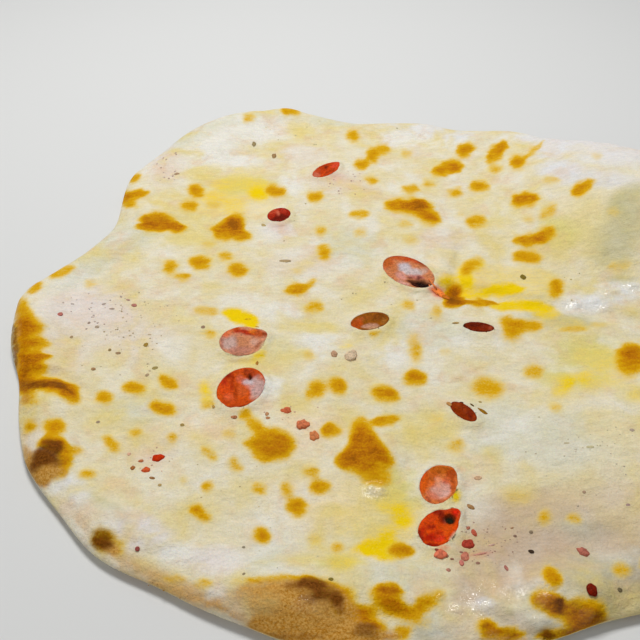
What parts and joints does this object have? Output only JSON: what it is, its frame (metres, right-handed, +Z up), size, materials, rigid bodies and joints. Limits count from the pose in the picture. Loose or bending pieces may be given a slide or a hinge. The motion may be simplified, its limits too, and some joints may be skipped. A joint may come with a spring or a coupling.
{
  "type": "kashmiri naan",
  "caption": "Hand-stretched oven-baked flat bread with browned blisters and slices of candied cherry baked into its top.",
  "frame": {"origin": "on the table, under the middle of the bread", "axes": "+Z up through the thickness; +Y towards the far side of the bread as it is served; +X to its right, where one edge is folded up"},
  "size_m": [0.319, 0.3145, 0.0264],
  "materials": {
    "baked_dough": "oven-baked wheat dough, satin, with golden and scorched blisters",
    "candied_cherry": "sliced candied cherry, wet and glossy"
  },
  "bodies": {
    "root": {"naan_bread": "baked_dough", "cherry_slice_01": "candied_cherry", "cherry_slice_02": "candied_cherry", "cherry_slice_03": "candied_cherry", "cherry_slice_04": "candied_cherry", "cherry_slice_05": "candied_cherry", "cherry_slice_06": "candied_cherry", "cherry_slice_07": "candied_cherry", "cherry_slice_08": "candied_cherry", "cherry_slice_09": "candied_cherry", "cherry_slice_10": "candied_cherry"}
  },
  "joints": []
}
